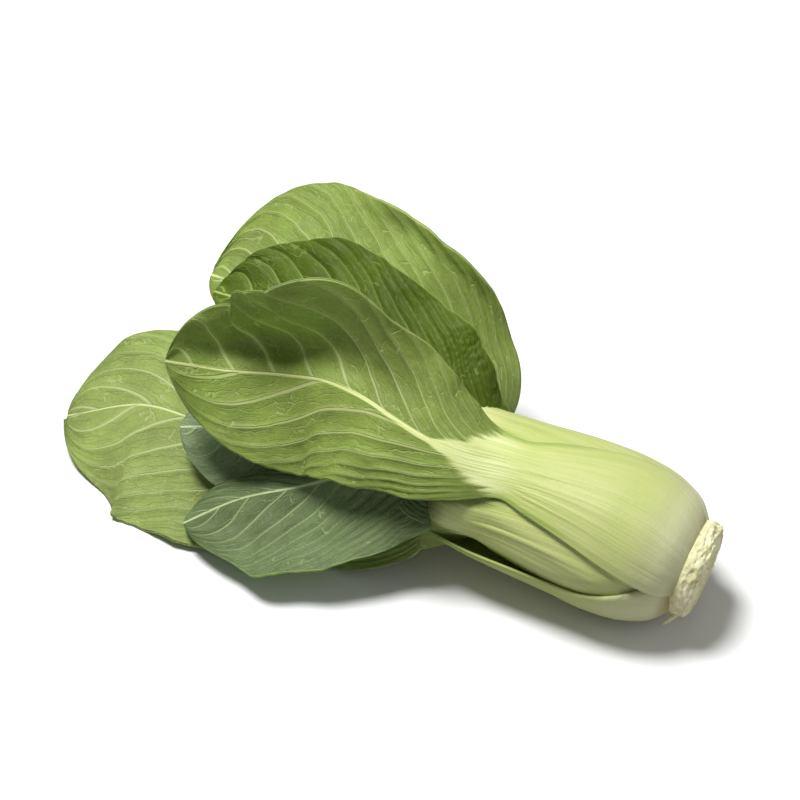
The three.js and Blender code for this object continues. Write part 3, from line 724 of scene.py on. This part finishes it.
# Drawn veins: half width of a lateral at the midrib and at the margin, in parts of the spacing,
# and the part of it that is solid; then cells between laterals and their length across, in
# millimetres, whose edges are the branches, finer cells for the twigs, and for both the half
# width of an edge in cells and its strength against a lateral's
LINE_WIDTHS, LINE_SOLID = (0.08, 0.028), 0.35
CELLS_BETWEEN, CELL_LENGTH, CELL_WOBBLE = 2.1, 8.0, 0.9
TWIGS_FINER = 3.1
BRANCHES, TWIGS = (0.05, 0.6), (0.11, 0.22)
# Parts of the half width over which a painted highlight comes in along the leaf's margin
MARGIN_HIGHLIGHT = (0.985, 0.998)
LINE_STRENGTH = 0.85
# Depth of the drawn relief, in metres
LEAF_BUMP, STUB_BUMP = 0.0004, 0.0008


def vein_lines(n, mm, phase, edge):
    """Laterals with soft flanks that narrow outwards, branches and twigs between them as the
    edges of stretched cells, and a painted highlight along the margin; then how far a point
    lies from a lateral."""
    wobble = n.noise(mm, 0.16, 3.0, output=1)
    shift = n.add("VectorMath", {0: wobble, 1: (0.5, 0.5, 0.5)}, operation="SUBTRACT")
    across = n.add("SeparateXYZ", {"Vector": mm})
    cells = n.add("CombineXYZ", {"X": n.times(phase, CELLS_BETWEEN),
                                 "Y": n.math("DIVIDE", across, CELL_LENGTH)})
    bent = n.add("VectorMath", {0: shift, 1: (CELL_WOBBLE,) * 3, 2: cells},
                 operation="MULTIPLY_ADD")
    off = n.math("ABSOLUTE", n.minus(n.math("FRACT", phase), 0.5))
    half_line = n.ramp(edge, 0.0, 1.0, *LINE_WIDTHS)
    lines = n.minus(1.0, n.ramp(off, n.times(half_line, LINE_SOLID), half_line))
    for scale, (half_edge, strength) in ((1.0, BRANCHES), (TWIGS_FINER, TWIGS)):
        to_edge = n.add("TexVoronoi", {"Vector": bent, "Scale": scale},
                        feature="DISTANCE_TO_EDGE", voronoi_dimensions="2D")
        drawn = n.times(n.ramp(to_edge, 0.0, half_edge, 1.0, 0.0), strength)
        lines = n.math("MAXIMUM", lines, drawn)
    # The margin is added to the lines, so it is painted in the vein colour as a highlight
    return n.math("MAXIMUM", lines, n.ramp(edge, *MARGIN_HIGHLIGHT)), off


def petiole_colour(n, part, edge, broad, streak, cloud, side_vein):
    """Cream at the butt, pale green up to the neck, ivory past it; greener flushes, fibres and
    wings, a brownish joint at the butt, and the veins' own colour out on the midrib."""
    colour = n.mix(n.ramp(part, 0.0, 0.35), PETIOLE_BUTT, PETIOLE_BULB)
    colour = n.mix(n.ramp(part, 0.35, 0.9), colour, PETIOLE_NECK)
    colour = n.mix(n.ramp(part, 0.9, 1.1), colour, PETIOLE_TOP)
    flush = n.times(n.ramp(broad, 0.42, 0.68), n.ramp(part, 0.1, 0.5, 0.1, 0.5))
    colour = n.mix(flush, colour, PETIOLE_FLUSH)
    fibres = n.times(n.ramp(streak, 0.4, 0.7), n.ramp(part, 0.0, 0.8, 0.1, 0.45))
    colour = n.mix(fibres, colour, PETIOLE_FIBRE)
    wing = n.times(n.ramp(edge, 0.8, 0.97), n.ramp(part, 0.45, 0.85, 0.0, 0.6))
    colour = n.mix(wing, colour, PETIOLE_WING)
    joint = n.times(n.ramp(part, 0.012, 0.06, 0.75, 0.0), n.ramp(cloud, 0.35, 0.6))
    colour = n.mix(joint, colour, PETIOLE_JOINT)
    return n.mix(n.ramp(part, 1.15, 1.5), colour, side_vein)


def leaf_material(name):
    """Leaf tissue: an outer and an inner side, each in its own green, and the pale petiole,
    with the veins drawn and raised. In some finishes a green is a lighter copy that paints light,
    or a bluish tone that paints sheen. Part of the light comes through the blade."""
    *colours, smoother = FINISHES[name]
    outer, outer_vein, inner, inner_vein = (rgb(*colour) for colour in colours)
    n = Nodes(name)
    uv = n.add("UVMap", uv_map="Leaf")
    mm = n.add("Mapping", {"Vector": uv, "Scale": (UV_SPAN,) * 3})
    inside, rib, blade = n.attribute("inner_side"), n.attribute("rib"), n.attribute("open")
    edge, part = n.attribute("edge"), n.attribute("part")
    lines, off = vein_lines(n, mm, n.attribute("phase"), edge)
    lines = n.times(n.times(lines, blade), n.minus(1.0, rib))

    cloud, speck = n.noise(mm, 0.045, 3.0), n.noise(mm, 0.8, 4.0)
    side, side_vein = n.mix(inside, outer, inner), n.mix(inside, outer_vein, inner_vein)
    tone = n.times(n.ramp(cloud, 0.3, 0.7, 0.82, 1.14), n.ramp(speck, 0.25, 0.75, 0.93, 1.07))
    green = n.add("VectorMath", {0: side, 3: tone}, operation="SCALE")
    green = n.mix(n.times(n.ramp(off, 0.0, 0.2, 0.25, 0.0), blade), green, side_vein)
    # Veins, and the painted highlight along the margin, take the vein colour
    green = n.mix(n.times(lines, LINE_STRENGTH), green, side_vein)

    streak_at = n.add("Mapping", {"Vector": uv, "Scale": (150, 3, 1)})
    streak = n.noise(streak_at, 1.0, 5.0)
    broad_at = n.add("Mapping", {"Vector": uv, "Scale": (22, 2.5, 1)})
    broad = n.noise(broad_at, 1.0, 2.0)
    stalk = n.math("MAXIMUM", rib, n.minus(1.0, blade))
    stalk_colour = petiole_colour(n, part, edge, broad, streak, cloud, side_vein)
    colour = n.mix(stalk, green, stalk_colour)

    # Lines are raised on the outer side and sunken on the inner one
    raised = n.times(lines, n.minus(1.0, n.times(inside, 2.0)))
    fibre = n.times(n.minus(streak, 0.5), n.times(stalk, 0.7))
    height = n.math("ADD", n.math("ADD", raised, n.times(speck, 0.3)), fibre)
    bump = n.add("Bump", {"Height": height, "Strength": 0.9, "Distance": LEAF_BUMP})
    rough = n.minus(0.5, n.times(inside, smoother))
    rough = n.math("ADD", rough, n.times(n.minus(speck, 0.5), 0.15))
    surface = n.add("BsdfPrincipled", {"Base Color": colour, "Roughness": rough,
                                       "Normal": bump, "Specular IOR Level": 0.3})
    glow = n.add("HueSaturation", {**THROUGH_RICHER, "Color": colour})
    through = n.add("BsdfTranslucent", {"Color": glow, "Normal": bump})
    share = n.times(n.minus(1.0, stalk), LIGHT_THROUGH)
    n.add("OutputMaterial", {"Surface": n.add("MixShader", {0: share, 1: surface, 2: through})})
    return n.material


def stub_material():
    """Dry cut base: cream and straw tissue in clouds, with brown pits."""
    n = Nodes("cut root base")
    at = n.add("TexCoord", output=3)
    pits = n.add("TexVoronoi", {"Vector": at, "Scale": 420.0})
    cloud = n.add("TexNoise", {"Vector": at, "Scale": 160.0, "Detail": 6.0, "Roughness": 0.7})
    colour = n.mix(n.ramp(cloud, 0.35, 0.65), STUB_CREAM, STUB_STRAW)
    brown = n.times(n.ramp(pits, 0.1, 0.3, 1.0, 0.0), n.ramp(cloud, 0.5, 0.65))
    colour = n.mix(n.times(brown, 0.8), colour, STUB_BROWN)
    height = n.minus(cloud, n.times(brown, 0.5))
    bump = n.add("Bump", {"Height": height, "Strength": 0.8, "Distance": STUB_BUMP})
    surface = n.add("BsdfPrincipled", {"Base Color": colour, "Roughness": 0.75, "Normal": bump})
    n.add("OutputMaterial", {"Surface": surface})
    return n.material


finishes = {name: leaf_material(name) for name in FINISHES}
for name in ORDER:
    leaf_piece(name, finishes[FINISH_OF.get(name, "pale leaf")])
stub_piece(stub_material())


# Floor, light and camera, in metres

FLOOR_HALF = 3.0
FLOOR_SEEN, FLOOR_BOUNCE = 0.86, 0.5  # how pale it is to the camera, and to other rays
# Lights: place, size and power in watts
LIGHTS = {"key": ((-0.35, -0.01, 1.42), 0.5, 26.5), "fill": ((1.2, 0.2, 0.7), 1.2, 3)}
LIGHTS_AIM = np.array([0.0, 0.0, 0.03])
SKY_STRENGTH = 0.18
# The camera stands 25 degrees round from the front and 45 up; FIELD fills the frame there
AZIMUTH, ELEVATION, DISTANCE, FIELD = math.radians(25), math.radians(45), 1.1, 0.2857
CAMERA_AIM = (np.array([-23.0, 30.0, 0.0]) + TO_ORIGIN) * MM
SENSOR_WIDTH = 36


def floor_piece():
    """Pale floor, darker to every ray but the camera's, so that it lights the leaves less."""
    mesh = bpy.data.meshes.new("floor")
    h = FLOOR_HALF
    mesh.from_pydata([(-h, -h, 0), (h, -h, 0), (h, h, 0), (-h, h, 0)], [], [(0, 1, 2, 3)])
    n = Nodes("pale floor")
    tone = n.mix(n.add("LightPath"), (*[FLOOR_BOUNCE] * 3, 1), (*[FLOOR_SEEN] * 3, 1))
    surface = n.add("BsdfPrincipled", {"Base Color": tone, "Roughness": 0.9,
                                       "Specular IOR Level": 0.1})
    n.add("OutputMaterial", {"Surface": surface})
    mesh.materials.append(n.material)
    floor = put("floor", mesh)


def area_light(name, place, size, power):
    """Round lamp at a place, turned to shine at the middle of the bunch."""
    lamp = bpy.data.lights.new(name, "AREA")
    lamp.shape, lamp.size, lamp.energy = "DISK", size, power
    light = put(name, lamp)
    light.location = place
    aim = LIGHTS_AIM - np.array(place)
    yaw = math.atan2(aim[0], -aim[1])
    light.rotation_euler = (math.acos(-aim[2] / np.linalg.norm(aim)), 0, yaw + math.pi)


floor_piece()
for name, light in LIGHTS.items():
    area_light(name, *light)
world = bpy.data.worlds.new("studio")
bpy.context.scene.world = world
world.use_nodes = True
sky = world.node_tree.nodes["Background"]
sky.inputs["Color"].default_value = (1, 1, 1, 1)
sky.inputs["Strength"].default_value = SKY_STRENGTH
bpy.context.scene.view_settings.view_transform = "Standard"

back = np.array([math.sin(AZIMUTH) * math.cos(ELEVATION),
                 -math.cos(AZIMUTH) * math.cos(ELEVATION), math.sin(ELEVATION)])
lens = bpy.data.cameras.new("camera")
lens.sensor_width = SENSOR_WIDTH
lens.lens = SENSOR_WIDTH * DISTANCE / FIELD
camera = put("camera", lens)
camera.location = CAMERA_AIM + back * DISTANCE
camera.rotation_euler = (math.pi / 2 - ELEVATION, 0, AZIMUTH)
bpy.context.scene.camera = camera
